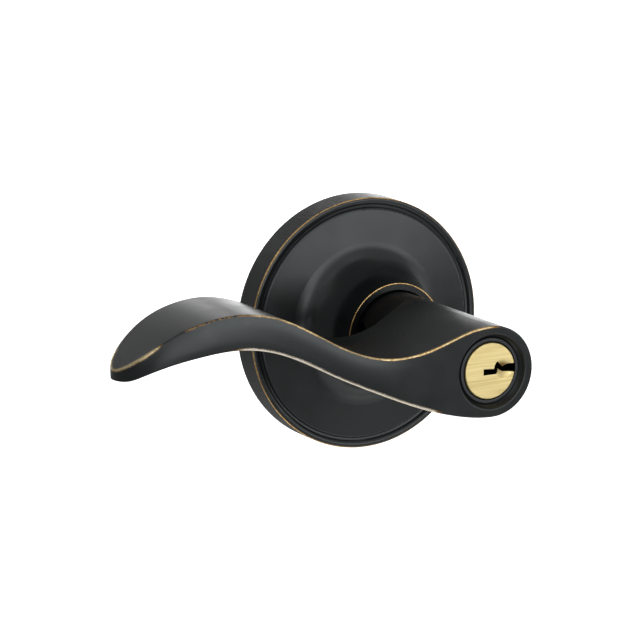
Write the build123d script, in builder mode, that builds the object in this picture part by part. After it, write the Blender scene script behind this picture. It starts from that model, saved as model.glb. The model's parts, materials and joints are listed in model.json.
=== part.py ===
from build123d import *
import os
from math import cos, radians, sin

# Keyed lever handle, outside half-set. Millimetres.
# The origin is the centre of the rosette's back face, on the spindle axis.
# -Y points away from the door to the user, +Y into the door, +Z up.
# The lever arm points to -X.

os.makedirs("parts", exist_ok=True)

# Rosette
ROSETTE_R = 33.3
RIM_FRONT = 7.9
BEAD_WIDTH = 1.9
BEAD_RISE = 0.25
FACE_R = 30.3
FACE_START = 7.9
FACE_END_R = 21.5
FACE_END = 8.7
GROOVE_DEPTH = 0.7
COLLAR_R = 13.5
COLLAR_BORE = 11.65
COLLAR_FRONT = 23.9
ROSETTE_SEAT = 2.2

# Barrel of the lever: head and neck share one radius
BARREL_R = 11.3
HEAD_FRONT = 71.2
NECK_END = 18.0
LEVER_BORE = 8.65
LEVER_LIP = 67.2
RECESS_R = 8.2
RECESS_MOUTH_R = 9.35
RIB_SLOT_R = 10.1
RIB_SLOT_HALF = 3.3

# Arm of the lever: x and z of its upper and lower edges, root to tip
ARM_TOP = [
    (0, BARREL_R),
    (-6, 10.6),
    (-14, 7.9),
    (-26, 5.8),
    (-34, 7.2),
    (-43, 11.4),
    (-54, 17.3),
    (-64, 19.3),
    (-76, 16.8),
    (-85, 11.4),
    (-91, 6.4),
    (-95, 5.0),
]
ARM_BOTTOM = [
    (0, -BARREL_R),
    (-10, -10.0),
    (-18, -7.7),
    (-30, -2.8),
    (-42, 2.8),
    (-52, 7.9),
    (-59, 10.2),
    (-65, 10.8),
    (-74, 9.6),
    (-82, 7.4),
    (-87, 5.2),
    (-90, 3.9),
    (-92, 3.8),
    (-95, 3.7),
]
# Directions of those edges at root and tip
TOP_ENDS = [(-1, 0), (-1, -0.25)]
BOTTOM_ENDS = [(-1, 0), (-1, -0.2)]
# x and y of the arm's edge in plan: head, front, round the tip, back, neck
ARM_PLAN = [
    (14, -HEAD_FRONT),
    (0, -HEAD_FRONT),
    (-14, -70.8),
    (-40, -68.5),
    (-62, -65.0),
    (-80, -60.2),
    (-86.5, -57.3),
    (-90.3, -53.4),
    (-91.2, -49.8),
    (-90.0, -46.4),
    (-86.5, -43.2),
    (-80, -41.0),
    (-70, -40.6),
    (-58, -41.4),
    (-40, -42.6),
    (-22, -42.0),
    (-11, -38.6),
    (0, -32.0),
    (10, -22.0),
]
HEAD_ROUND = 1.8
HEAD_ROUND_X = -1.6
ARM_CORE = (-50, -55, 12)
ARM_CROWN = 0.35
CROWN_HALF_HEIGHT = 4.0
CROWN_START = -12.0
CROWN_FULL = -34.0
WALL_STATIONS = 110
WALL_ROWS = 6
WALL_REACH = 1.6
SLAB_BACK = 24.0
SLAB_DEPTH = 52.0

# Spindle tube and its driving end
SPINDLE_R = 8.6
SPINDLE_BORE = 6.8
SPINDLE_FRONT = -43.4
SPINDLE_BACK = 16.0
SPINDLE_WEB = 4.0
TAIL_HOLE_R = 2.6
DRIVE_R = 5.6
DRIVE_FLAT = 3.6
DRIVE_END = 42.0
CLIP_GROOVE_R = 7.9
CLIP_START = 9.6
CLIP_WIDTH = 1.0

# Catch in the neck
CATCH_ANGLE = 163.0
CATCH_Y = -25.0
CATCH_R = 1.05
CATCH_HEAD_R = 2.1
CATCH_TIP = 9.6
CATCH_SHOULDER = 6.4
CATCH_INNER = 5.7
CATCH_SLOT_LENGTH = 5.0
CATCH_SLOT_WIDTH = 3.2
CATCH_SPRING_WIDTH = 3.6
CATCH_SPRING_GAP = 5.0

# Plate, cage and return spring behind the rosette
PLATE_R = 31.15
PLATE_THICKNESS = 2.2
SPIGOT_R = 26.8
SPIGOT_DEPTH = 3.0
HUB_R = 11.3
HUB_BORE = 9.7
HUB_LENGTH = 14.0
BUSH_FLANGE = 0.8
CAGE_R = 15.4
CAGE_WALL = 1.0
CAGE_DEPTH = 9.2
CAGE_HOLE_R = 8.95
CAGE_FLANGE_R = 24.6
POST_SPACING = 38.1
POST_R = 3.2
POST_END = 17.0
POST_HEAD_R = 4.2
POST_HOLE_R = 1.65
POST_HOLE_DEPTH = 14.0
RIVET_OFFSET = 20.0
RIVET_R = 1.5
RIVET_HEAD_R = 2.6
DRIVER_R = 12.9
DRIVER_START = 0.4
DRIVER_THICKNESS = 1.2
DOG_INNER_R = 11.8
DOG_HALF_ANGLE = 8.0
COIL_R = 10.4
COIL_WIRE_R = 0.7
COIL_PITCH = 2.2
COIL_START = 2.6
LEG_ANGLE = 13.5
LEG_LENGTH = 3.6

# Lock cylinder
PLUG_R = 5.6
PLUG_FACE = 70.3
PLUG_HEAD_R = 7.0
PLUG_HEAD_BACK = 67.3
PLUG_BACK = 43.4
PLUG_TAIL_R = 4.8
PLUG_TAIL_GROOVE_R = 4.4
PLUG_TAIL_END = 41.0
HOUSING_R = 8.6
HOUSING_BORE = 5.65
HOUSING_BACK = 43.5
RIB_R = 10.0
RIB_HALF = 3.2
COVER_R = 9.4
COVER_HALF = 1.7
RING_OUTER = 8.15
RING_INNER = 7.25
RING_FRONT = 70.0
CHAMBER_R = 1.3
PIN_R = 1.25
PIN_COUNT = 5
PIN_PITCH = 3.9
FIRST_PIN = -63.6
KEY_PIN_TOP = 5.45
KEY_PIN_LENGTHS = (4.2, 3.7, 4.6, 3.9, 4.4)
DRIVER_PIN_BOTTOM = 5.66
DRIVER_PIN_LENGTH = 2.0
PIN_SPRING_R = 0.9
PIN_SPRING_WIRE_R = 0.13
PIN_SPRING_PITCH = 0.4
CHAMBER_BOTTOM = 0.7
KEYWAY = [
    (-1.9, 0.6),
    (1.05, 0.4),
    (1.2, 1.1),
    (1.55, 1.8),
    (2.05, 2.2),
    (3.3, 1.1),
    (3.95, 0.55),
    (4.6, 1.05),
    (5.2, 1.35),
    (8, 1.3),
    (8, -1.1),
    (5.6, -0.65),
    (3.8, -0.6),
    (3.1, -0.15),
    (2.4, 0.3),
    (2.35, -0.55),
    (1.8, -0.9),
    (-1.9, -0.95),
]
KEY_DISH = (3.6, 0.2)
KEY_DISH_R = 2.5
KEY_DISH_DEPTH = 1.2
TAILPIECE_WIDTH = 4.0
TAILPIECE_THICKNESS = 1.5
TAILPIECE_START = -42.6
TAILPIECE_END = 46.0


def facing(depth):
    """Sketch plane across the spindle axis, at depth towards the user."""
    return Plane.XZ.offset(depth)


def turned(outline):
    """Solid turned about the spindle axis from corner points (radius, y)."""
    with BuildPart() as body:
        with BuildSketch(Plane.XY):
            with BuildLine():
                Polyline(*outline, close=True)
            make_face()
        revolve(axis=Axis.Y)
    return body.part


def tube(outer, inner, start, end):
    """Plain tube on the spindle axis between two y values."""
    return turned([(inner, start), (outer, start), (outer, end), (inner, end)])


def height_at(edge, x):
    """Height of an edge that runs steadily towards -X, where it passes x."""
    low, high = 0.0, 1.0
    for _ in range(40):
        middle = (low + high) / 2
        if (edge @ middle).X > x:
            low = middle
        else:
            high = middle
    return (edge @ low).Y


def crown_share(x):
    """Share of the arm's crown: none at the flat head, all along the arm."""
    share = (CROWN_START - x) / (CROWN_START - CROWN_FULL)
    share = min(max(share, 0.0), 1.0)
    return share * share * (3 - 2 * share)


def arm_wall():
    """Crowned wall round the arm, from the head round the tip to the neck."""
    top_edge = Spline(*ARM_TOP, tangents=TOP_ENDS)
    bottom_edge = Spline(*ARM_BOTTOM, tangents=BOTTOM_ENDS)
    plan_edge = Spline(*ARM_PLAN)
    grid = []
    for station in range(WALL_STATIONS + 1):
        share = station / WALL_STATIONS
        point = plan_edge @ share
        along = plan_edge % share
        top = height_at(top_edge, min(point.X, 0))
        bottom = height_at(bottom_edge, min(point.X, 0))
        slimness = min((top - bottom) / 2 / CROWN_HALF_HEIGHT, 1)
        crown = ARM_CROWN * crown_share(point.X) * slimness**2
        row = []
        for step in range(-WALL_ROWS, WALL_ROWS + 1):
            rise = WALL_REACH * step / WALL_ROWS
            swell = crown * (1 - rise * rise)
            x = point.X - along.Y * swell
            y = point.Y + along.X * swell
            z = (top + bottom) / 2 + rise * (top - bottom) / 2
            row.append(Vector(x, y, z))
        grid.append(row)
    return Face.make_surface_from_array_of_points(grid)


# Rosette: beaded rim, flat face and trumpet flare up to the collar
with BuildPart() as rosette:
    with BuildSketch(Plane.XY):
        with BuildLine():
            rim = Polyline((31.2, 0), (ROSETTE_R, 0), (ROSETTE_R - 0.1, -RIM_FRONT))
            bead = ThreePointArc(
                rim @ 1,
                (ROSETTE_R - 0.8, -RIM_FRONT - BEAD_RISE),
                (ROSETTE_R - 0.1 - BEAD_WIDTH, -RIM_FRONT + GROOVE_DEPTH - 0.2),
            )
            groove = Line(bead @ 1, (FACE_R + 0.35, -FACE_START + GROOVE_DEPTH))
            soft = ThreePointArc(
                groove @ 1,
                (FACE_R + 0.1, -FACE_START + 0.2),
                (FACE_R - 0.5, -FACE_START),
            )
            dish = Line(soft @ 1, (FACE_END_R, -FACE_END))
            flare = Spline(
                dish @ 1,
                (17.2, -10.6),
                (14.6, -14.6),
                (COLLAR_R, -20.6),
                tangents=[(-1, -0.13), (0, -1)],
            )
            side = Line(flare @ 1, (COLLAR_R, -COLLAR_FRONT))
            front = Line(side @ 1, (COLLAR_BORE, -COLLAR_FRONT))
            bore = Line(front @ 1, (COLLAR_BORE, -15.0))
            Polyline(
                bore @ 1,
                (13.0, -13.2),
                (16.4, -9.0),
                (20.5, -6.8),
                (29.6, -5.7),
                (29.6, -ROSETTE_SEAT),
                (31.2, -ROSETTE_SEAT),
                rim @ 0,
            )
        make_face()
    revolve(axis=Axis.Y)

# Slab with the wave profile of head and arm, before its wall is cut
with BuildPart() as wave_slab:
    with BuildSketch(facing(SLAB_BACK)):
        with BuildLine():
            upper = Spline(*ARM_TOP, tangents=TOP_ENDS)
            lower = Spline(*ARM_BOTTOM, tangents=BOTTOM_ENDS)
            Line(upper @ 1, lower @ 1)
            ThreePointArc(upper @ 0, (BARREL_R, 0), lower @ 0)
        make_face()
    extrude(amount=SLAB_DEPTH)
slab_pieces = wave_slab.part.split(arm_wall(), keep=Keep.ALL)
arm = next(piece for piece in slab_pieces if piece.is_inside(ARM_CORE))

# Lever: wave-shaped arm, barrel head and neck, bored for spindle and cylinder
with BuildPart() as lever:
    add(arm)
    add(tube(BARREL_R, LEVER_BORE, -LEVER_LIP + 4, -NECK_END))
    add(tube(LEVER_BORE, 0, -LEVER_LIP, -NECK_END), mode=Mode.SUBTRACT)
    with BuildSketch(Plane.XY):
        with BuildLine():
            mouth = Line((0, -LEVER_LIP), (RECESS_R, -LEVER_LIP))
            wall = Line(mouth @ 1, (RECESS_R, -69.6))
            dished = ThreePointArc(wall @ 1, (8.85, -70.3), (RECESS_MOUTH_R, -HEAD_FRONT - 0.1))
            front_r = RECESS_MOUTH_R
            Polyline(dished @ 1, (front_r, -HEAD_FRONT - 2), (0, -HEAD_FRONT - 2), mouth @ 0)
        make_face()
    revolve(axis=Axis.Y, mode=Mode.SUBTRACT)
    # The head's front corner is rounded at the right and fades into the arm's edges
    with BuildSketch(Plane.YZ.offset(HEAD_ROUND_X)):
        round_r = BARREL_R - HEAD_ROUND_X
        with BuildLine():
            corner = ThreePointArc(
                (-HEAD_FRONT - 0.2, round_r - HEAD_ROUND),
                (-HEAD_FRONT + 0.4, round_r - 0.45),
                (-HEAD_FRONT + HEAD_ROUND, round_r + 0.15),
            )
            Polyline(
                corner @ 1,
                (-HEAD_FRONT + HEAD_ROUND, round_r + 2),
                (-HEAD_FRONT - 2, round_r + 2),
                (-HEAD_FRONT - 2, round_r - HEAD_ROUND),
                corner @ 0,
            )
        make_face()
    revolve(
        axis=Axis((HEAD_ROUND_X, 0, 0), (0, 1, 0)),
        revolution_arc=180,
        mode=Mode.SUBTRACT,
    )
    with BuildSketch(facing(NECK_END - 1)):
        with Locations((-RIB_SLOT_R / 2, 0)):
            Rectangle(RIB_SLOT_R, 2 * RIB_SLOT_HALF)
    extrude(amount=LEVER_LIP - NECK_END + 1, mode=Mode.SUBTRACT)
    catch_out = Vector(cos(radians(CATCH_ANGLE)), 0, sin(radians(CATCH_ANGLE)))
    with BuildSketch(Plane(Vector(0, CATCH_Y, 0) + catch_out * 8, (0, 1, 0), catch_out)):
        with BuildLine():
            Polyline(
                (-CATCH_SLOT_LENGTH / 2, 0),
                (0, -CATCH_SLOT_WIDTH / 2),
                (CATCH_SLOT_LENGTH / 2, 0),
                (0, CATCH_SLOT_WIDTH / 2),
                close=True,
            )
        make_face()
    extrude(amount=6, mode=Mode.SUBTRACT)

# Spindle: tube, end web, then the flatted drive tube that turns the latch
with BuildPart() as spindle:
    with BuildSketch(Plane.XY):
        with BuildLine():
            Polyline(
                (SPINDLE_BORE, SPINDLE_FRONT),
                (SPINDLE_R, SPINDLE_FRONT),
                (SPINDLE_R, CLIP_START),
                (CLIP_GROOVE_R, CLIP_START),
                (CLIP_GROOVE_R, CLIP_START + CLIP_WIDTH),
                (SPINDLE_R, CLIP_START + CLIP_WIDTH),
                (SPINDLE_R, SPINDLE_BACK),
                (DRIVE_R, SPINDLE_BACK),
                (DRIVE_R, DRIVE_END),
                (TAIL_HOLE_R, DRIVE_END),
                (TAIL_HOLE_R, SPINDLE_BACK - SPINDLE_WEB),
                (SPINDLE_BORE, SPINDLE_BACK - SPINDLE_WEB),
                close=True,
            )
        make_face()
    revolve(axis=Axis.Y)
    with BuildSketch(facing(-SPINDLE_BACK)):
        with Locations((0, -DRIVE_FLAT - DRIVE_R)):
            Rectangle(3 * DRIVE_R, 2 * DRIVE_R)
    extrude(amount=SPINDLE_BACK - DRIVE_END, mode=Mode.SUBTRACT)
    with BuildSketch(Plane(Vector(0, CATCH_Y, 0), (0, 1, 0), catch_out)):
        Circle(CATCH_R + 0.05)
    extrude(amount=SPINDLE_R + 1, mode=Mode.SUBTRACT)

# Catch: sprung pin that locks the lever on the spindle
with BuildPart() as catch:
    with BuildSketch(
        Plane(Vector(0, CATCH_Y, 0) + catch_out * CATCH_INNER, (0, 1, 0), catch_out)
    ):
        Circle(CATCH_HEAD_R)
    extrude(amount=CATCH_SHOULDER - CATCH_INNER)
    with BuildSketch(
        Plane(Vector(0, CATCH_Y, 0) + catch_out * CATCH_SHOULDER, (0, 1, 0), catch_out)
    ):
        Circle(CATCH_R)
    extrude(amount=CATCH_TIP - CATCH_SHOULDER)
    chamfer(catch.faces().sort_by(Axis(catch_out * 0, catch_out))[-1].edges(), 0.25)

# Catch spring: open band inside the spindle
with BuildPart() as catch_spring:
    with BuildSketch(facing(-CATCH_Y - CATCH_SPRING_WIDTH / 2)):
        Circle(CATCH_INNER - 0.05)
        Circle(CATCH_INNER - 0.5, mode=Mode.SUBTRACT)
        with Locations((-4 * catch_out.X, -4 * catch_out.Z)):
            Rectangle(CATCH_SPRING_GAP, CATCH_SPRING_GAP, rotation=CATCH_ANGLE, mode=Mode.SUBTRACT)
    extrude(amount=CATCH_SPRING_WIDTH)

# Mounting plate with its hub and the spigot that centres it in the door's bore
with BuildPart() as mounting_plate:
    add(tube(PLATE_R, HUB_BORE, -PLATE_THICKNESS, 0))
    add(tube(HUB_R, HUB_BORE, -HUB_LENGTH, 0))
    add(tube(SPIGOT_R, SPIGOT_R - 1.6, -PLATE_THICKNESS, SPIGOT_DEPTH))
    with BuildSketch(facing(-SPIGOT_DEPTH)):
        with Locations((-POST_SPACING / 2, 0), (POST_SPACING / 2, 0)):
            Circle(POST_R)
        with Locations((0, -RIVET_OFFSET), (0, RIVET_OFFSET)):
            Circle(RIVET_R)
    extrude(amount=SPIGOT_DEPTH + PLATE_THICKNESS, mode=Mode.SUBTRACT)

# Flanged bush in the hub, bearing for the spindle
with BuildPart() as hub_bush:
    add(tube(HUB_BORE, LEVER_BORE, -HUB_LENGTH, 0))
    add(tube(HUB_R, LEVER_BORE, -HUB_LENGTH - BUSH_FLANGE, -HUB_LENGTH))

# The dog and the cage's fixed finger stand side by side between the spring's legs
dog_angles = (LEG_ANGLE - DOG_HALF_ANGLE, LEG_ANGLE + DOG_HALF_ANGLE)
dog_wedge = [(0, 0)] + [(20 * cos(radians(a)), 20 * sin(radians(a))) for a in dog_angles]

# Spring cage: cup with a flange on the plate and a fixed finger for the spring
with BuildPart() as spring_cage:
    add(tube(CAGE_FLANGE_R, CAGE_R - CAGE_WALL, 0, 1.2))
    add(tube(CAGE_R, CAGE_R - CAGE_WALL, 0, CAGE_DEPTH))
    add(tube(CAGE_R, CAGE_HOLE_R, CAGE_DEPTH - 1.2, CAGE_DEPTH))
    with BuildSketch(facing(-1.8)):
        Circle(CAGE_R - CAGE_WALL / 2)
        Circle(DRIVER_R + 0.3, mode=Mode.SUBTRACT)
        with BuildLine():
            Polyline(*dog_wedge, close=True)
        make_face(mode=Mode.INTERSECT)
    extrude(amount=1.8 - CAGE_DEPTH + 0.5)
    with BuildSketch(facing(-2)):
        with Locations((-POST_SPACING / 2, 0), (POST_SPACING / 2, 0)):
            Circle(POST_R + 0.05)
        with Locations((0, -RIVET_OFFSET), (0, RIVET_OFFSET)):
            Circle(RIVET_R)
    extrude(amount=4, mode=Mode.SUBTRACT)

# Two rivets hold the cage on the plate
with BuildPart() as cage_rivets:
    for height in (-RIVET_OFFSET, RIVET_OFFSET):
        with BuildSketch(facing(PLATE_THICKNESS)):
            with Locations((0, height)):
                Circle(RIVET_R)
        extrude(amount=-PLATE_THICKNESS - 1.2)
        with BuildSketch(facing(PLATE_THICKNESS)):
            with Locations((0, height)):
                Circle(RIVET_HEAD_R)
        extrude(amount=1)
        with BuildSketch(facing(-1.2)):
            with Locations((0, height)):
                Circle(RIVET_HEAD_R)
        extrude(amount=-1)

# Two posts take the through-bolts from the inside of the door
with BuildPart() as through_bolt_posts:
    post_places = ((-POST_SPACING / 2, 0), (POST_SPACING / 2, 0))
    with BuildSketch(facing(PLATE_THICKNESS)):
        with Locations(*post_places):
            Circle(POST_R)
    extrude(amount=-PLATE_THICKNESS - POST_END)
    with BuildSketch(facing(PLATE_THICKNESS)):
        with Locations(*post_places):
            Circle(POST_HEAD_R)
    extrude(amount=1.2)
    with BuildSketch(facing(-POST_END)):
        with Locations(*post_places):
            Circle(POST_HOLE_R)
    extrude(amount=POST_HOLE_DEPTH, mode=Mode.SUBTRACT)

# Driver: washer on the spindle with a dog that winds the return spring
with BuildPart() as spring_driver:
    add(tube(DRIVER_R, SPINDLE_R, DRIVER_START, DRIVER_START + DRIVER_THICKNESS))
    with BuildSketch(facing(-DRIVER_START)):
        Circle(DRIVER_R)
        Circle(DOG_INNER_R, mode=Mode.SUBTRACT)
        with BuildLine():
            Polyline(*dog_wedge, close=True)
        make_face(mode=Mode.INTERSECT)
    extrude(amount=-7)

# Return spring: torsion coil whose legs stand either side of the dog and finger
with BuildPart() as return_spring:
    coil_height = COIL_PITCH * (2 - 2 * LEG_ANGLE / 360)
    with BuildLine():
        coil = Helix(COIL_PITCH, coil_height, COIL_R, (0, COIL_START, 0), (0, 1, 0))
    with BuildSketch(Plane(coil @ 0, z_dir=coil % 0)):
        Circle(COIL_WIRE_R)
    sweep(path=coil, is_frenet=True)
    for end in (coil @ 0, coil @ 1):
        with BuildSketch(Plane(end, z_dir=Vector(end.X, 0, end.Z))):
            Circle(COIL_WIRE_R)
        extrude(amount=LEG_LENGTH)

# Open ring in the spindle's groove, behind the cage
with BuildPart() as retaining_ring:
    with BuildSketch(facing(-CLIP_START - 0.05)):
        Circle(SPINDLE_R + 1.6)
        Circle(CLIP_GROOVE_R, mode=Mode.SUBTRACT)
        with Locations((0, -SPINDLE_R)):
            Rectangle(5, 6, mode=Mode.SUBTRACT)
    extrude(amount=0.1 - CLIP_WIDTH)

# Cylinder housing with its rib of pin chambers towards the arm
pin_places = [FIRST_PIN + PIN_PITCH * n for n in range(PIN_COUNT)]
with BuildPart() as cylinder_housing:
    add(tube(HOUSING_R, HOUSING_BORE, -LEVER_LIP, -HOUSING_BACK))
    with BuildSketch(facing(HOUSING_BACK)):
        with Locations((-(RIB_R + 7) / 2, 0)):
            Rectangle(RIB_R - 7, 2 * RIB_HALF)
    extrude(amount=LEVER_LIP - HOUSING_BACK - 0.2)
    with BuildSketch(facing(HOUSING_BACK + 1.5)):
        with Locations((-(RIB_R + COVER_R) / 2, 0)):
            Rectangle(RIB_R - COVER_R, 2 * COVER_HALF)
    extrude(amount=LEVER_LIP - HOUSING_BACK - 3, mode=Mode.SUBTRACT)
    for place in pin_places:
        with BuildSketch(Plane((-COVER_R, place, 0), (0, 1, 0), (1, 0, 0))):
            Circle(CHAMBER_R)
        extrude(amount=COVER_R - 3, mode=Mode.SUBTRACT)

# Strip that closes the pin chambers
with BuildPart() as chamber_cover:
    with BuildSketch(facing(HOUSING_BACK + 1.5)):
        with Locations((-(RIB_R + COVER_R) / 2, 0)):
            Rectangle(RIB_R - COVER_R - 0.05, 2 * COVER_HALF)
    extrude(amount=LEVER_LIP - HOUSING_BACK - 3)

# Trim ring round the plug's face
with BuildPart() as plug_ring:
    add(tube(RING_OUTER, RING_INNER, -RING_FRONT, -LEVER_LIP))
    fillet(plug_ring.edges().sort_by(Axis.Y)[:2], 0.25)

# Plug: head, body with keyway and pin holes, slotted tail
with BuildPart() as plug:
    add(
        turned(
            [
                (0, -PLUG_FACE),
                (PLUG_HEAD_R, -PLUG_FACE),
                (PLUG_HEAD_R, -PLUG_HEAD_BACK),
                (PLUG_R, -PLUG_HEAD_BACK),
                (PLUG_R, -PLUG_BACK),
                (PLUG_TAIL_GROOVE_R, -PLUG_BACK),
                (PLUG_TAIL_GROOVE_R, -PLUG_BACK + 1),
                (PLUG_TAIL_R, -PLUG_BACK + 1),
                (PLUG_TAIL_R, -PLUG_TAIL_END),
                (0, -PLUG_TAIL_END),
            ]
        )
    )
    chamfer(plug.edges().sort_by(Axis.Y)[0], 0.2)
    with BuildSketch(facing(PLUG_BACK)):
        with BuildLine():
            Polyline(*KEYWAY, close=True)
        make_face()
    extrude(amount=PLUG_FACE - PLUG_BACK + 1, mode=Mode.SUBTRACT)
    dish_x, dish_z = KEY_DISH
    with BuildSketch(Plane.XY.offset(dish_z)):
        with BuildLine():
            Polyline(
                (dish_x, -PLUG_FACE + KEY_DISH_DEPTH),
                (dish_x + KEY_DISH_R, -PLUG_FACE),
                (dish_x + KEY_DISH_R, -PLUG_FACE - 1),
                (dish_x, -PLUG_FACE - 1),
                close=True,
            )
        make_face()
    revolve(axis=Axis((dish_x, 0, dish_z), (0, 1, 0)), mode=Mode.SUBTRACT)
    for place in pin_places:
        with BuildSketch(Plane((CHAMBER_BOTTOM, place, 0), (0, 1, 0), (-1, 0, 0))):
            Circle(CHAMBER_R)
        extrude(amount=PLUG_R + 1, mode=Mode.SUBTRACT)
    with BuildSketch(facing(PLUG_TAIL_END)):
        Rectangle(TAILPIECE_WIDTH, TAILPIECE_THICKNESS)
    extrude(amount=-TAILPIECE_START - PLUG_TAIL_END, mode=Mode.SUBTRACT)

# Open clip that holds the plug in the housing
with BuildPart() as plug_clip:
    with BuildSketch(facing(PLUG_BACK - 0.1)):
        Circle(6.2)
        Circle(PLUG_TAIL_GROOVE_R, mode=Mode.SUBTRACT)
        with Locations((0, -PLUG_TAIL_R)):
            Rectangle(2.5, 4, mode=Mode.SUBTRACT)
    extrude(amount=-0.85)

# Tailpiece: flat bar from the plug through the spindle to the latch
with BuildPart() as tailpiece:
    with BuildSketch(facing(-TAILPIECE_START)):
        Rectangle(TAILPIECE_WIDTH, TAILPIECE_THICKNESS)
    extrude(amount=TAILPIECE_START - TAILPIECE_END)
    chamfer(tailpiece.edges().filter_by(Axis.X).sort_by(Axis.Y)[-2:], 0.4)


def key_pin(place, length):
    """Lower pin: flat at the shear line, pointed towards the key."""
    with BuildPart() as pin:
        with BuildSketch(Plane((-KEY_PIN_TOP, place, 0), (0, 1, 0), (1, 0, 0))):
            Circle(PIN_R)
        extrude(amount=length)
        chamfer(pin.faces().sort_by(Axis.X)[-1].edges(), 0.7)
    return pin


def driver_pin(place):
    """Upper pin, just outside the shear line."""
    with BuildPart() as pin:
        with BuildSketch(Plane((-DRIVER_PIN_BOTTOM, place, 0), (0, 1, 0), (-1, 0, 0))):
            Circle(PIN_R)
        extrude(amount=DRIVER_PIN_LENGTH)
        chamfer(pin.faces().sort_by(Axis.X)[0].edges(), 0.2)
    return pin


def pin_spring(place):
    """Small coil between a driver pin and the cover strip."""
    foot = DRIVER_PIN_BOTTOM + DRIVER_PIN_LENGTH + PIN_SPRING_WIRE_R
    height = COVER_R - PIN_SPRING_WIRE_R - foot
    with BuildPart() as spring:
        with BuildLine():
            wire = Helix(
                PIN_SPRING_PITCH, height, PIN_SPRING_R, (-foot, place, 0), (-1, 0, 0)
            )
        with BuildSketch(Plane(wire @ 0, z_dir=wire % 0)):
            Circle(PIN_SPRING_WIRE_R)
        sweep(path=wire, is_frenet=True)
    return spring


pieces = {
    "rosette": rosette,
    "lever": lever,
    "spindle": spindle,
    "catch": catch,
    "catch_spring": catch_spring,
    "mounting_plate": mounting_plate,
    "hub_bush": hub_bush,
    "spring_cage": spring_cage,
    "cage_rivets": cage_rivets,
    "through_bolt_posts": through_bolt_posts,
    "spring_driver": spring_driver,
    "return_spring": return_spring,
    "retaining_ring": retaining_ring,
    "cylinder_housing": cylinder_housing,
    "chamber_cover": chamber_cover,
    "plug_ring": plug_ring,
    "plug": plug,
    "plug_clip": plug_clip,
    "tailpiece": tailpiece,
}
for number, (place, length) in enumerate(zip(pin_places, KEY_PIN_LENGTHS), start=1):
    pieces[f"key_pin_{number}"] = key_pin(place, length)
    pieces[f"driver_pin_{number}"] = driver_pin(place)
    pieces[f"pin_spring_{number}"] = pin_spring(place)

for label, piece in pieces.items():
    piece.part.label = label
    export_step(piece.part, f"parts/{label}.step")
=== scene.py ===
import json
import math

import bpy
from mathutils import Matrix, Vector


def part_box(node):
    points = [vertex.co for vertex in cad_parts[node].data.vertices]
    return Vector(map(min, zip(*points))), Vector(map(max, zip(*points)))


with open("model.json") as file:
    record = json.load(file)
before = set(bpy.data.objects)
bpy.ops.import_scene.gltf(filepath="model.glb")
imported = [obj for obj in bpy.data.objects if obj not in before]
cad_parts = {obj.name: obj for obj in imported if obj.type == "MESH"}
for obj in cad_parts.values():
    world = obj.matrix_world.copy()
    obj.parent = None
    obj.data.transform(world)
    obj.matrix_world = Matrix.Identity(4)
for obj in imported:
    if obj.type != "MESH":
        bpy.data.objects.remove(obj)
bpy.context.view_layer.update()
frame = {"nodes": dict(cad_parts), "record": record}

scene = bpy.context.scene

MM = 0.001


def mm(*values):
    """Millimetres in metres."""
    return tuple(value * MM for value in values)


def rgb(red, green, blue):
    return (red, green, blue, 1.0)


# Rosette: radius, y and width of its two worn rings, the rim's radius given as an inset
# from its edge, and the insets between which the side wall begins
RIM_INSET = 0.1 * MM
RIM_FRONT = -7.9 * MM
RIM_WEAR = 0.34 * MM
COLLAR_R = 13.5 * MM
COLLAR_FRONT = -23.9 * MM
COLLAR_WEAR = 0.32 * MM
SIDE_WALL_INSETS = mm(0.5, 0.3)
STREAK = 0.04

# Lever: reach of the search for edges, then the x, y or radius between which a mask fades
EDGE_REACH = 1.8 * MM
ARM_ROOT_X = mm(-2.0, 3.0)
BEFORE_NECK_Y = mm(-40.0, -36.0)
STEADY_X = mm(-66.0, -60.0)
DASHED_X = mm(-79.0, -76.0, -64.0, -60.0)
TIP_X = mm(-84.0, -82.0)
TIP_FRONT_Y = mm(-44.8, -43.2)
LOWER_X = mm(-69.0, -62.0, -17.0, -13.0)
RECESS_EDGE_R = mm(9.7, 10.1)
BESIDE_HEAD_X = mm(-34.0, -24.0)
WIDE_TIP_X = mm(-86.0, -80.0)
SHADED_NECK_Y = mm(-38.0, -30.0)

# Turn of the surface at which an edge counts as worn
TURN_ARM = 0.15
TURN_BESIDE_HEAD = 0.08
TURN_TIP = 0.025
TURN_LOWER = 0.06

# Part of a normal between which a face counts as turned that way, out being -X or -Y
FACES_OUT = (-0.25, -0.1)
FACES_UP = (0.1, 0.25)
FACES_DOWN = (-0.3, -0.15)

# Plug: x and z of the dish beside the keyway, its radius, the depths below the face
# between which the painted shade on the dish and in the keyway begins, and the edge of the
# face
DISH_CENTRE = mm(3.6, 0.2)
DISH_R = 2.5 * MM
DISH_FADE = 0.6 * MM
DISH_DEPTH = mm(0.02, 0.2)
KEYWAY_SIDE_DEPTH = mm(0.02, 0.08)
KEYWAY_FLOOR_DEPTH = mm(1.15, 1.3)
PLUG_FACE_R = mm(6.85, 6.92)

# Bore of the plug ring and of the housing, and how thick the painted black shade inside it
# fades
RING_BORE_R = 7.27 * MM
BORE_SHADE_FADE = 0.05 * MM

# Radius that the shading rounds edges to
RING_ROUND = 0.3 * MM
ARM_ROUND = 0.6 * MM
SMALL_ROUND = 0.15 * MM

# Values that most of a noise lies between
SPREAD = (0.3, 0.7)
WIDE_SPREAD = (0.25, 0.75)

# Worn share at which a ring or an edge starts to show and shows fully, and the dashes
RING_FADE = (0.35, 1.0)
EDGE_FADE = (0.45, 1.1)
DASH_SPLIT = (0.42, 0.56)
DASH_SHARE = 0.6

# Roughness of the satin coat, and specular level of coats and of the neck, lowered there as
# painted shade
SATIN = (0.27, 0.33)
SPECULAR = 0.5
NECK_SHADE_SPECULAR = 0.18


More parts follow.
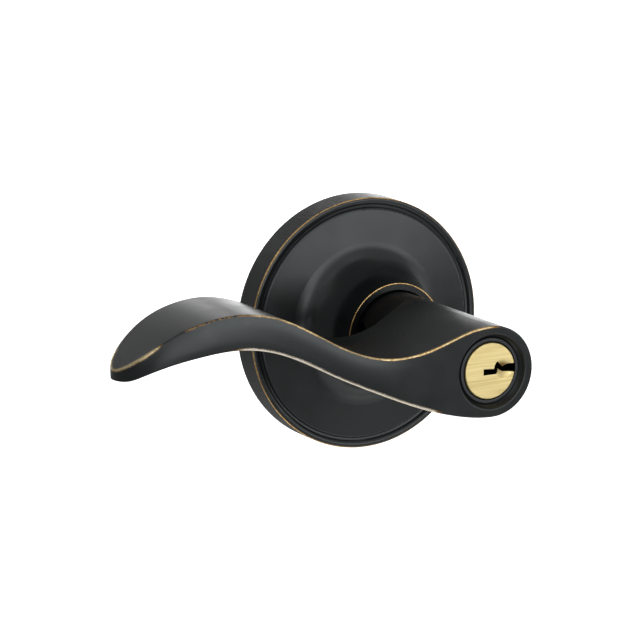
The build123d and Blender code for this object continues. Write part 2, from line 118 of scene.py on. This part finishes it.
# ---------------------------------------------------------------- node helpers
class Tree:
    """One material with short ways to add and join its shader nodes."""

    def __init__(self, name):
        self.material = bpy.data.materials.new(name)
        self.material.use_nodes = True
        self.nodes = self.material.node_tree.nodes
        self.links = self.material.node_tree.links
        self.shader = self.nodes["Principled BSDF"]
        self.place = self.nodes.new("ShaderNodeTexCoord").outputs["Object"]

    def set(self, socket, value):
        """Gives a socket a number, a colour or another node's output."""
        if isinstance(value, bpy.types.NodeSocket):
            self.links.new(value, socket)
        else:
            socket.default_value = value

    def shade(self, **values):
        """Sets inputs of the shader, named with _ for a space."""
        for name, value in values.items():
            self.set(self.shader.inputs[name.replace("_", " ")], value)

    def math(self, operation, *values):
        node = self.nodes.new("ShaderNodeMath")
        node.operation = operation
        for socket, value in zip(node.inputs, values):
            self.set(socket, value)
        return node.outputs[0]

    def product(self, *values):
        total = values[0]
        for value in values[1:]:
            total = self.math("MULTIPLY", total, value)
        return total

    def ramp(self, value, low, high, to_low=0.0, to_high=1.0):
        """Smooth step of a value between two limits."""
        node = self.nodes.new("ShaderNodeMapRange")
        node.interpolation_type = "SMOOTHSTEP"
        for socket, item in zip(node.inputs, (value, low, high, to_low, to_high)):
            self.set(socket, item)
        return node.outputs["Result"]

    def fall(self, value, low, high):
        """One up to low, then falling smoothly to nothing at high."""
        return self.ramp(value, low, high, 1.0, 0.0)

    def band(self, value, start, full, end, gone):
        """One between full and end, fading to nothing at start and gone."""
        return self.product(self.ramp(value, start, full), self.fall(value, end, gone))

    def xyz(self, vector):
        node = self.nodes.new("ShaderNodeSeparateXYZ")
        self.set(node.inputs[0], vector)
        return node.outputs

    def distance(self, *parts):
        """Length of a vector from its parts."""
        squares = [self.math("MULTIPLY", part, part) for part in parts]
        total = squares[0]
        for square in squares[1:]:
            total = self.math("ADD", total, square)
        return self.math("SQRT", total)

    def noise(self, scale, detail=3.0, roughness=0.55, stretch=(1, 1, 1), place=None):
        mapping = self.nodes.new("ShaderNodeMapping")
        mapping.inputs["Scale"].default_value = stretch
        self.set(mapping.inputs["Vector"], place or self.place)
        node = self.nodes.new("ShaderNodeTexNoise")
        self.set(node.inputs["Vector"], mapping.outputs["Vector"])
        node.inputs["Scale"].default_value = scale
        node.inputs["Detail"].default_value = detail
        node.inputs["Roughness"].default_value = roughness
        return node.outputs["Fac"]

    def mix(self, share, low, high):
        """Blend of two colours: sockets 6 and 7 are the node's colour inputs."""
        node = self.nodes.new("ShaderNodeMix")
        node.data_type = "RGBA"
        self.set(node.inputs["Factor"], share)
        self.set(node.inputs[6], low)
        self.set(node.inputs[7], high)
        return node.outputs[2]

    def normal_parts(self):
        """x, y and z of the surface's own normal."""
        geometry = self.nodes.new("ShaderNodeNewGeometry")
        return self.xyz(geometry.outputs["Normal"])

    def bevel(self, radius, samples=8):
        """Normal rounded off over edges within a radius."""
        node = self.nodes.new("ShaderNodeBevel")
        node.samples = samples
        node.inputs["Radius"].default_value = radius
        return node.outputs["Normal"]

    def edge(self, radius):
        """How far the surface turns within a radius, nothing on flats and high on edges,
        and the parts of the rounded normal there."""
        geometry = self.nodes.new("ShaderNodeNewGeometry")
        dot = self.nodes.new("ShaderNodeVectorMath")
        dot.operation = "DOT_PRODUCT"
        rounded = self.bevel(radius, samples=16)
        self.set(dot.inputs[0], rounded)
        self.set(dot.inputs[1], geometry.outputs["Normal"])
        return self.math("SUBTRACT", 1.0, dot.outputs["Value"]), self.xyz(rounded)

    def bump(self, height, strength, distance, normal):
        node = self.nodes.new("ShaderNodeBump")
        node.inputs["Strength"].default_value = strength
        node.inputs["Distance"].default_value = distance
        self.set(node.inputs["Height"], height)
        self.set(node.inputs["Normal"], normal)
        return node.outputs["Normal"]


# ------------------------------------------------------------------- materials
# Dark coat, and the brass under it where it is worn through
COAT_LOW = rgb(0.0028, 0.0032, 0.0036)
COAT_HIGH = rgb(0.0040, 0.0045, 0.0050)
SHEEN = rgb(0.93, 0.99, 1.0)
AMBER = rgb(0.20, 0.10, 0.022)
RING_LOW = rgb(0.46, 0.27, 0.09)
RING_HIGH = rgb(0.78, 0.55, 0.26)
BRASS_LOW = rgb(0.44, 0.29, 0.11)
BRASS_HIGH = rgb(0.68, 0.53, 0.31)
GOLD_LOW = rgb(0.72, 0.52, 0.23)
GOLD_HIGH = rgb(0.92, 0.78, 0.50)
CREAM_LOW = rgb(0.82, 0.72, 0.55)
CREAM_HIGH = rgb(0.95, 0.89, 0.78)

# Brushed brass of the plug
BRUSHED_LOW = rgb(0.74, 0.59, 0.26)
BRUSHED_HIGH = rgb(0.88, 0.74, 0.38)
BRUSHED_LINE = rgb(0.58, 0.42, 0.14)
# Painted shade: brown for the dish's upper part
DISH_PAINTED_SHADE = rgb(0.14, 0.07, 0.016)
# Painted shade: black for the keyway's walls and floor below the plug face
KEYWAY_PAINTED_SHADE = rgb(0.004, 0.003, 0.002)
# Painted shade: black for the inside of the plug ring's and housing's bore
BORE_PAINTED_SHADE = rgb(0.002, 0.002, 0.002)


def satin_roughness(tree):
    """Roughness of the coat, a little uneven."""
    return tree.ramp(tree.noise(140.0, 4.0), *WIDE_SPREAD, *SATIN)


def bronze(tree, worn, satin, low, high, rounding):
    """Dark satin coat over brass, which shows where worn is above nothing."""
    fine = tree.noise(1500.0, 2.0)
    coat = tree.mix(tree.ramp(tree.noise(90.0, 4.0), *SPREAD), COAT_LOW, COAT_HIGH)
    brass = tree.mix(tree.ramp(fine, *SPREAD), low, high)
    thin = tree.mix(tree.ramp(worn, 0.0, 0.4), coat, AMBER)
    tree.shade(Base_Color=tree.mix(tree.ramp(worn, 0.4, 0.85), thin, brass))
    tree.shade(Metallic=tree.ramp(worn, 0.15, 0.5), Specular_Tint=SHEEN)
    tree.shade(Roughness=satin)
    tree.shade(Normal=tree.bump(fine, 0.05, 0.02 * MM, tree.bevel(rounding)))
    return tree.material


def rosette_bronze():
    """Bronze of the rosette, worn on the rim's corner and the collar's front edge."""
    tree = Tree("rosette bronze")
    x, y, z = tree.xyz(tree.place)
    radius = tree.distance(x, z)
    rosette_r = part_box("rosette")[1][0]
    patch = tree.noise(170.0, 3.0)
    worn = []
    for ring_r, ring_y, width in (
        (rosette_r - RIM_INSET, RIM_FRONT, RIM_WEAR),
        (COLLAR_R, COLLAR_FRONT, COLLAR_WEAR),
    ):
        away = tree.distance(
            tree.math("SUBTRACT", radius, ring_r),
            tree.math("SUBTRACT", y, ring_y),
        )
        reach = tree.ramp(patch, *SPREAD, 0.75 * width, 1.2 * width)
        worn.append(tree.fall(tree.math("DIVIDE", away, reach), *RING_FADE))
    # The side wall keeps faint marks of turning, the face is smooth
    around = tree.math("MULTIPLY", tree.math("ARCTAN2", z, x), rosette_r)
    spot = tree.nodes.new("ShaderNodeCombineXYZ")
    tree.set(spot.inputs[0], around)
    tree.set(spot.inputs[1], tree.math("MULTIPLY", y, 0.03))
    turning = tree.noise(2200.0, 2.0, 0.5, place=spot.outputs[0])
    streaks = tree.ramp(turning, *SPREAD, -STREAK, STREAK)
    wall = tree.ramp(radius, *(rosette_r - inset for inset in SIDE_WALL_INSETS))
    satin = tree.math("ADD", satin_roughness(tree), tree.product(streaks, wall))
    worn = tree.math("MAXIMUM", *worn)
    return bronze(tree, worn, satin, RING_LOW, RING_HIGH, RING_ROUND)


def lever_bronze():
    """Bronze of the lever, worn to brass along the arm's front creases."""
    tree = Tree("lever bronze")
    x, y, z = tree.xyz(tree.place)
    turn, (rounded_x, rounded_y, rounded_z) = tree.edge(EDGE_REACH)
    patch = tree.noise(230.0, 3.0)
    dashes = tree.noise(900.0, 2.0)
    # Where it wears: along the top crease, in dashes on the leaf, then round the tip
    arm = tree.fall(x, *ARM_ROOT_X)
    clear = tree.fall(y, *BEFORE_NECK_Y)
    steady = tree.ramp(x, *STEADY_X)
    broken = tree.product(
        tree.band(x, *DASHED_X),
        tree.ramp(dashes, *DASH_SPLIT, 0.0, DASH_SHARE),
    )
    tip = tree.fall(x, *TIP_X)
    round_tip = tree.product(tip, tree.fall(y, *TIP_FRONT_Y))
    along = tree.math("MAXIMUM", tree.math("MAXIMUM", steady, broken), round_tip)
    front = tree.math(
        "MAXIMUM",
        tree.fall(rounded_y, *FACES_OUT),
        tree.product(tip, tree.fall(rounded_x, *FACES_OUT)),
    )
    top = tree.product(tree.ramp(rounded_z, *FACES_UP), along, arm)
    lower = tree.product(tree.fall(rounded_z, *FACES_DOWN), tree.band(x, *LOWER_X))
    outside_recess = tree.ramp(tree.distance(x, z), *RECESS_EDGE_R)
    share = tree.product(tree.math("MAXIMUM", top, lower), front, clear, outside_recess)
    # How wide: the wear is broadest at the tip and broad beside the head
    needed = tree.math(
        "MINIMUM",
        tree.ramp(x, *BESIDE_HEAD_X, TURN_ARM, TURN_BESIDE_HEAD),
        tree.ramp(x, *WIDE_TIP_X, TURN_TIP, TURN_ARM),
    )
    needed = tree.math("MINIMUM", needed, tree.ramp(lower, 0.0, 0.5, 1.0, TURN_LOWER))
    needed = tree.product(needed, tree.ramp(patch, *SPREAD, 0.7, 1.3))
    worn = tree.ramp(tree.math("DIVIDE", turn, needed), *EDGE_FADE)
    satin = satin_roughness(tree)
    # Painted shade: the neck's specular level drops near the collar, which darkens it
    tree.shade(Specular_IOR_Level=tree.ramp(y, *SHADED_NECK_Y, SPECULAR, NECK_SHADE_SPECULAR))
    low = tree.mix(lower, tree.mix(tip, BRASS_LOW, GOLD_LOW), CREAM_LOW)
    high = tree.mix(lower, tree.mix(tip, BRASS_HIGH, GOLD_HIGH), CREAM_HIGH)
    return bronze(tree, tree.product(worn, share), satin, low, high, ARM_ROUND)


def brushed_brass():
    """Yellow brass brushed along X, with painted shade: black deep in the keyway and brown on
    the dish's upper part.
    """
    tree = Tree("brushed brass")
    x, y, z = tree.xyz(tree.place)
    lines = tree.noise(3000.0, 3.0, 0.6, (0.02, 1.0, 1.0))
    broad = tree.noise(700.0, 2.0, 0.5, (0.04, 1.0, 1.0))
    tone = tree.mix(tree.ramp(lines, *SPREAD), BRUSHED_LOW, BRUSHED_HIGH)
    tone = tree.mix(tree.ramp(broad, 0.4, 0.8, 0.0, 0.2), tone, BRUSHED_LINE)
    depth = tree.math("SUBTRACT", y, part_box("plug")[0][1])
    # Painted shade: the keyway's walls and floor below the face turn black and lose their
    # metal and shine
    facing = tree.math("ABSOLUTE", tree.normal_parts()[1])
    shaded_sides = tree.product(
        tree.fall(facing, 0.2, 0.4),
        tree.ramp(depth, *KEYWAY_SIDE_DEPTH),
    )
    keyway_shade = tree.math("MAXIMUM", shaded_sides, tree.ramp(depth, *KEYWAY_FLOOR_DEPTH))
    inside = tree.fall(tree.distance(x, z), *PLUG_FACE_R)
    keyway_shade = tree.product(keyway_shade, inside)
    # Painted shade: the dish beside the keyway is darkened brown towards its centre, most on
    # its upper half
    from_dish = tree.distance(
        tree.math("SUBTRACT", x, DISH_CENTRE[0]),
        tree.math("SUBTRACT", z, DISH_CENTRE[1]),
    )
    dish_shade = tree.product(
        tree.ramp(from_dish, 0.4 * DISH_R, DISH_R, 0.92, 0.0),
        tree.ramp(depth, *DISH_DEPTH),
        tree.ramp(z, DISH_CENTRE[1] - DISH_FADE, DISH_CENTRE[1] + DISH_FADE, 0.35, 1.0),
    )
    tone = tree.mix(dish_shade, tone, DISH_PAINTED_SHADE)
    tree.shade(Base_Color=tree.mix(keyway_shade, tone, KEYWAY_PAINTED_SHADE))
    tree.shade(Metallic=tree.math("SUBTRACT", 1.0, keyway_shade))
    tree.shade(Specular_IOR_Level=tree.ramp(keyway_shade, 0.0, 1.0, SPECULAR, 0.0))
    tree.shade(Roughness=tree.ramp(lines, *SPREAD, 0.36, 0.48))
    tree.shade(Normal=tree.bump(lines, 0.25, 0.02 * MM, tree.bevel(SMALL_ROUND)))
    return tree.material


def plain_metal(name, low, high, roughness, metallic=1.0, hole_r=None):
    """Metal or plastic with an uneven tone and fine marks. With hole_r, it is painted black
    inside a hole of that radius on the Y axis, as shade in the bore."""
    tree = Tree(name)
    marks = tree.noise(1200.0, 3.0, 0.6)
    tone = tree.mix(tree.noise(120.0, 4.0), low, high)
    tree.shade(Metallic=metallic)
    if hole_r:
        x, _, z = tree.xyz(tree.place)
        # Painted shade: black inside the bore, which also loses its metal and shine
        bore_shade = tree.fall(tree.distance(x, z), hole_r, hole_r + BORE_SHADE_FADE)
        tone = tree.mix(bore_shade, tone, BORE_PAINTED_SHADE)
        if metallic:
            tree.shade(Metallic=tree.math("SUBTRACT", metallic, bore_shade))
        tree.shade(Specular_IOR_Level=tree.ramp(bore_shade, 0.0, 1.0, SPECULAR, 0.0))
    tree.shade(Base_Color=tone)
    tree.shade(Roughness=tree.ramp(marks, *SPREAD, roughness - 0.05, roughness + 0.07))
    tree.shade(Normal=tree.bump(marks, 0.2, 0.03 * MM, tree.bevel(SMALL_ROUND)))
    return tree.material


def greys(low, high):
    """Two greys, a trace warm."""
    return rgb(low, low, low * 0.98), rgb(high, high, high * 0.98)


looks = {
    "dark_trim": plain_metal(
        "dark trim", rgb(0.010, 0.012, 0.015), rgb(0.016, 0.018, 0.022), 0.36, 0.0, RING_BORE_R
    ),
    "brass": brushed_brass(),
    "dark_steel": plain_metal("black steel", *greys(0.01, 0.02), 0.4),
    "zinc_steel": plain_metal("zinc plate", *greys(0.55, 0.66), 0.36),
    "steel": plain_metal("steel", *greys(0.48, 0.58), 0.33),
    "spring_steel": plain_metal("spring wire", *greys(0.25, 0.34), 0.35),
    "bush": plain_metal(
        "bearing plastic", rgb(0.62, 0.60, 0.53), rgb(0.70, 0.68, 0.60), 0.5, 0.0
    ),
    "housing": plain_metal(
        "dull brass", rgb(0.50, 0.41, 0.22), rgb(0.60, 0.50, 0.28), 0.42, 1.0, RING_BORE_R
    ),
    "pin_brass": plain_metal("turned brass", rgb(0.72, 0.55, 0.24), rgb(0.8, 0.64, 0.32), 0.3),
    "pin_steel": plain_metal("turned steel", *greys(0.6, 0.68), 0.27),
}
bronzes = {"rosette": rosette_bronze(), "lever": lever_bronze()}
slots = {part["node"]: part["material_slot"] for part in frame["record"]["subparts"]}
for name, node in frame["nodes"].items():
    node.data.materials.clear()
    node.data.materials.append(bronzes.get(name) or looks[slots[name]])


# ----------------------------------------------------------------------- stage
AMBIENT = 0.27
FLOOR_SIZE = 8.0
FLOOR_LEVEL = -0.16
WHITE = rgb(1, 1, 1)

bpy.ops.mesh.primitive_plane_add(size=FLOOR_SIZE, location=(0, 0, FLOOR_LEVEL))
floor = bpy.context.object
floor.name = "floor"
floor_tree = Tree("pale floor")
floor_tree.shade(Base_Color=rgb(0.93, 0.93, 0.93), Roughness=0.9)
floor_tree.shade(Emission_Color=WHITE, Emission_Strength=1.0)
floor.data.materials.append(floor_tree.material)
# Like a cut-out backdrop, the floor stays out of reflections and shadows
floor.visible_diffuse = False
floor.visible_glossy = False
floor.visible_transmission = False
floor.visible_shadow = False

world = bpy.data.worlds.new("studio")
scene.world = world
world.use_nodes = True
background = world.node_tree.nodes["Background"]
background.inputs["Color"].default_value = WHITE
# The camera sees white and the object a dim surround; inputs 2 and 3 are the two strengths
rays = world.node_tree.nodes.new("ShaderNodeLightPath")
strength = world.node_tree.nodes.new("ShaderNodeMix")
strength.inputs[2].default_value = AMBIENT
strength.inputs[3].default_value = 1.0
world.node_tree.links.new(rays.outputs["Is Camera Ray"], strength.inputs["Factor"])
world.node_tree.links.new(strength.outputs[0], background.inputs["Strength"])

LIGHT_DISTANCE = 1.2
stage_centre = Vector((-0.02, -0.035, 0.0))


def softbox(name, azimuth, elevation, width, height, radiance):
    """Rectangular soft light that faces the object. Azimuth 0 is in front, 90 at +X."""
    data = bpy.data.lights.new(name, "AREA")
    data.shape = "RECTANGLE"
    data.size = width
    data.size_y = height
    data.energy = radiance * math.pi * width * height
    light = bpy.data.objects.new(name, data)
    scene.collection.objects.link(light)
    turn = math.radians(azimuth)
    rise = math.radians(elevation)
    away = Vector(
        (math.sin(turn) * math.cos(rise), -math.cos(turn) * math.cos(rise), math.sin(rise))
    )
    light.location = stage_centre + LIGHT_DISTANCE * away
    light.rotation_euler = (-away).to_track_quat("-Z", "Y").to_euler()


# Name, azimuth and elevation in degrees, width and height in metres, radiance
for card in (
    ("key_left", -48, 38, 1.0, 0.8, 0.45),
    ("key_front", 0, 38, 1.0, 0.8, 0.6),
    ("key_right", 48, 38, 1.0, 0.8, 0.45),
    ("strip_left", -35, 5, 0.7, 0.4, 1.0),
    ("strip_front", 0, 4, 0.7, 0.4, 2.9),
    ("strip_right", 31, 5, 0.7, 0.35, 3.0),
    ("side_right", 70, 4, 0.8, 0.45, 1.0),
    ("back_strip", 172, 8, 0.6, 0.4, 3.4),
    ("back_right", 148, 3, 0.6, 0.4, 1.9),
    ("low_front", -10, -13, 0.5, 0.35, 2.2),
    ("low_right", 48, -38, 0.9, 0.6, 0.8),
    ("floor_card", 0, -80, 1.5, 1.5, 0.7),
):
    softbox(*card)

# ---------------------------------------------------------------------- camera
LENS_MM = 168.64
CAMERA_PLACE = (-0.37243, -0.67470, 0.16459)
CAMERA_AIM = Vector((0.4636, 0.8609, -0.2096))

camera_data = bpy.data.cameras.new("camera")
camera_data.lens = LENS_MM
camera_data.sensor_width = 36.0
camera_data.clip_start = 0.01
camera = bpy.data.objects.new("camera", camera_data)
scene.collection.objects.link(camera)
camera.location = CAMERA_PLACE
camera.rotation_euler = CAMERA_AIM.to_track_quat("-Z", "Y").to_euler()
scene.camera = camera
scene.view_settings.view_transform = "Standard"
